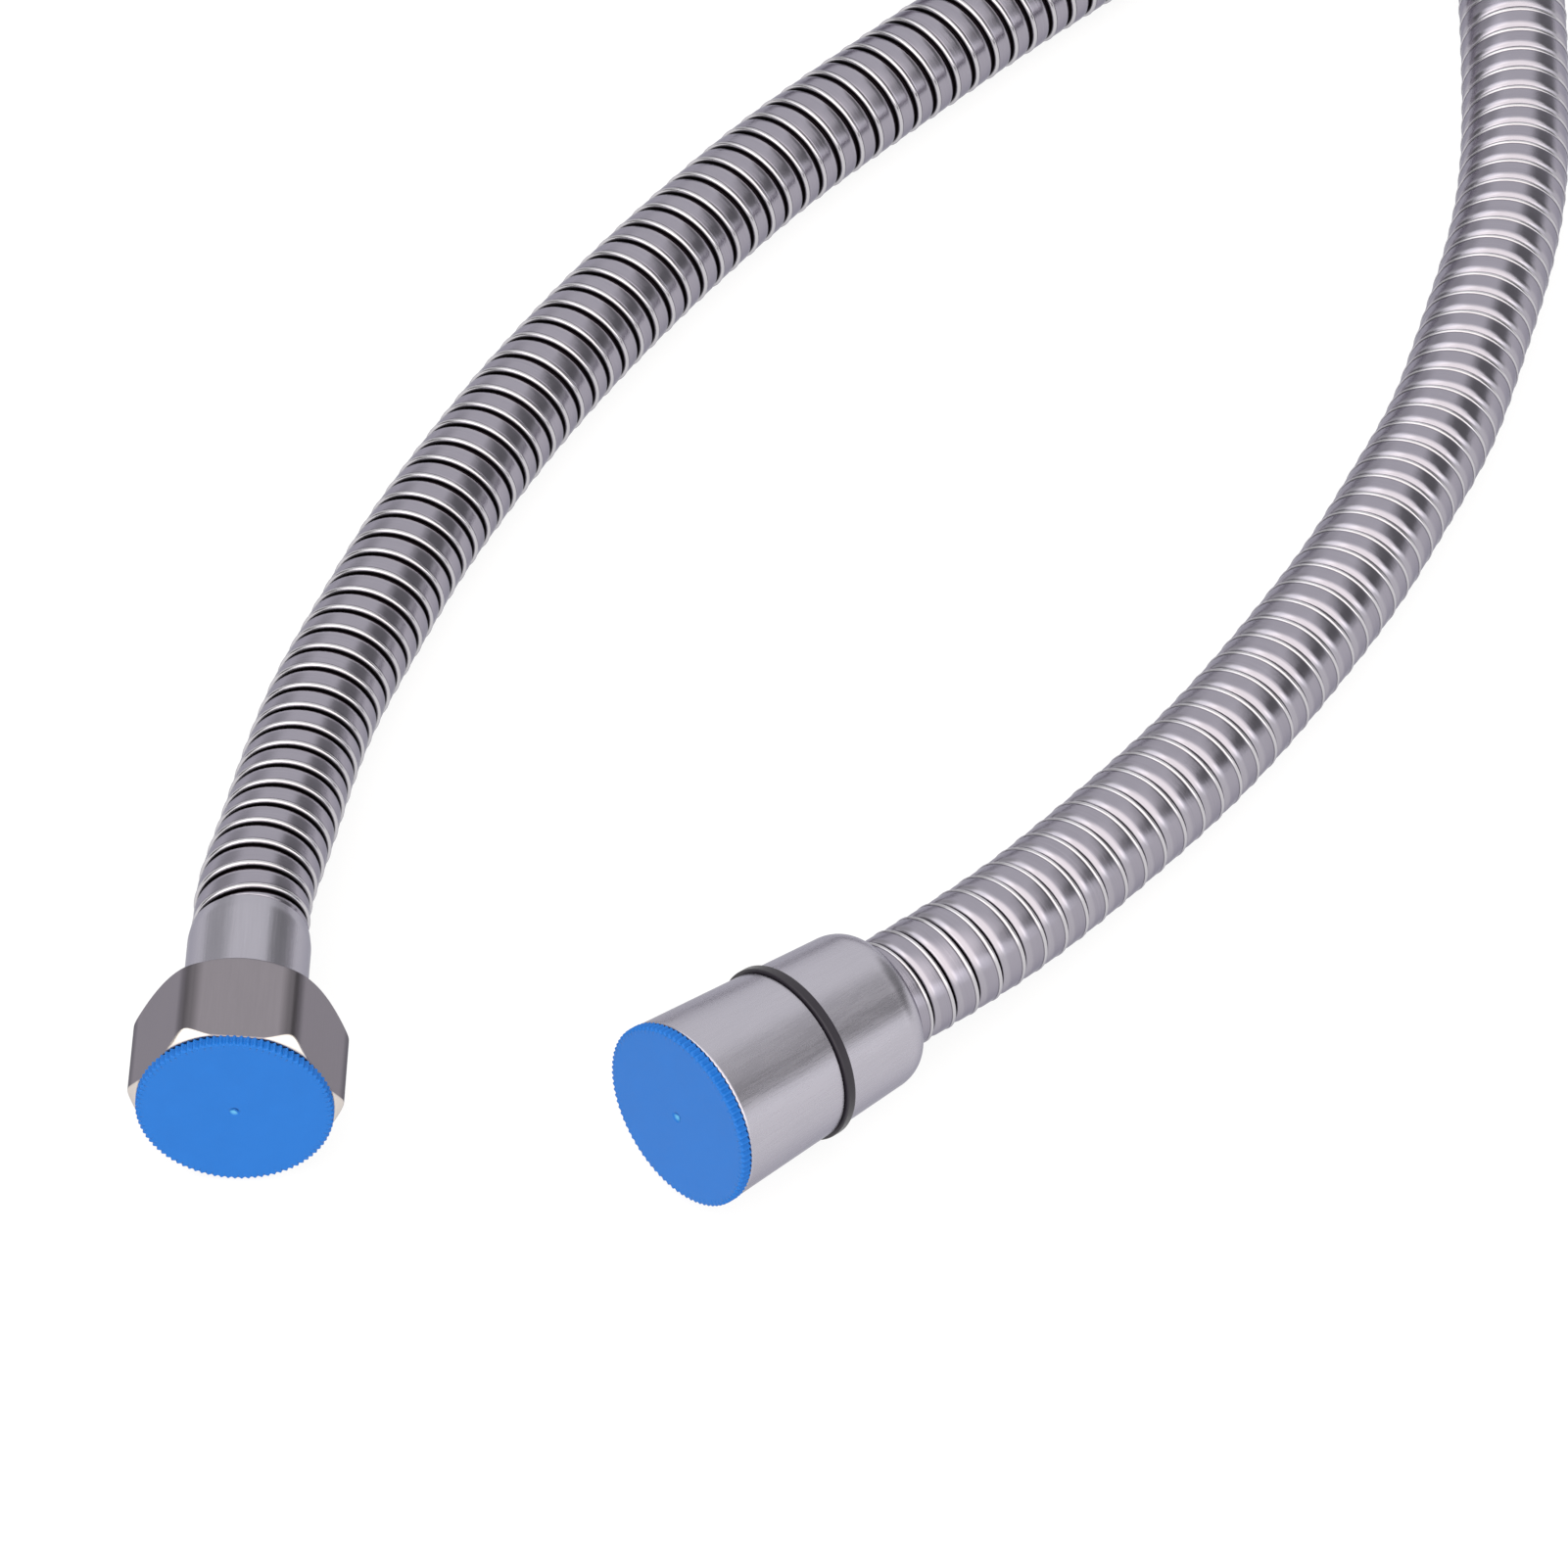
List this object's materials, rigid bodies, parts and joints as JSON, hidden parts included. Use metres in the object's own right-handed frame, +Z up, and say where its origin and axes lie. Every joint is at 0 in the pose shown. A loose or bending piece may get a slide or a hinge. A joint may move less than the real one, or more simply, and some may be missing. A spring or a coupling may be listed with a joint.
{
  "type": "shower hose",
  "caption": "Metal shower hose with a hexagon swivel nut and a conical swivel nut, each closed by a push-in transport cap, its spare length coiled.",
  "frame": {"origin": "on the surface that the hose lies on, under the middle of the box round the two end fittings", "axes": "+Z up; +X from the hexagon nut to the conical nut; +Y from the nuts towards the coil"},
  "size_m": [0.1986, 0.4497, 0.032],
  "materials": {
    "hose_steel": "satin spiral strip",
    "fitting_steel": "finely brushed",
    "tail_brass": "as turned",
    "liner_rubber": "matte",
    "seal_rubber": "matte",
    "cap_plastic": "satin moulded"
  },
  "bodies": {
    "root": {"hose_run_hex_end": "hose_steel", "hose_coil": "hose_steel", "hose_run_round_end": "hose_steel", "hex_end_ferrule": "fitting_steel", "hex_end_tail": "tail_brass", "hex_end_liner": "liner_rubber", "round_end_ferrule": "fitting_steel", "round_end_tail": "tail_brass", "round_end_liner": "liner_rubber"},
    "hex_swivel": {"hex_nut": "fitting_steel", "hex_end_washer": "seal_rubber"},
    "hex_cap": {"hex_end_cap": "cap_plastic"},
    "round_swivel": {"round_nut": "fitting_steel", "nut_band": "seal_rubber", "round_end_washer": "seal_rubber"},
    "round_cap": {"round_end_cap": "cap_plastic"}
  },
  "joints": [
    {"name": "hex_nut_turn", "type": "hinge", "parent": "root", "child": "hex_swivel", "pos_m": [-0.03683, -0.00846, 0.0128], "axis": [-0.0244, -0.9991, 0.0349], "continuous": true},
    {"name": "hex_cap_pull", "type": "slide", "parent": "hex_swivel", "child": "hex_cap", "axis": [-0.0244, -0.9991, 0.0349], "range_m": [0, 0.012]},
    {"name": "round_nut_turn", "type": "hinge", "parent": "root", "child": "round_swivel", "pos_m": [0.01927, -0.01086, 0.01386], "axis": [-0.7402, -0.6642, 0.1045], "continuous": true},
    {"name": "round_cap_pull", "type": "slide", "parent": "round_swivel", "child": "round_cap", "axis": [-0.7402, -0.6642, 0.1045], "range_m": [0, 0.012]}
  ]
}
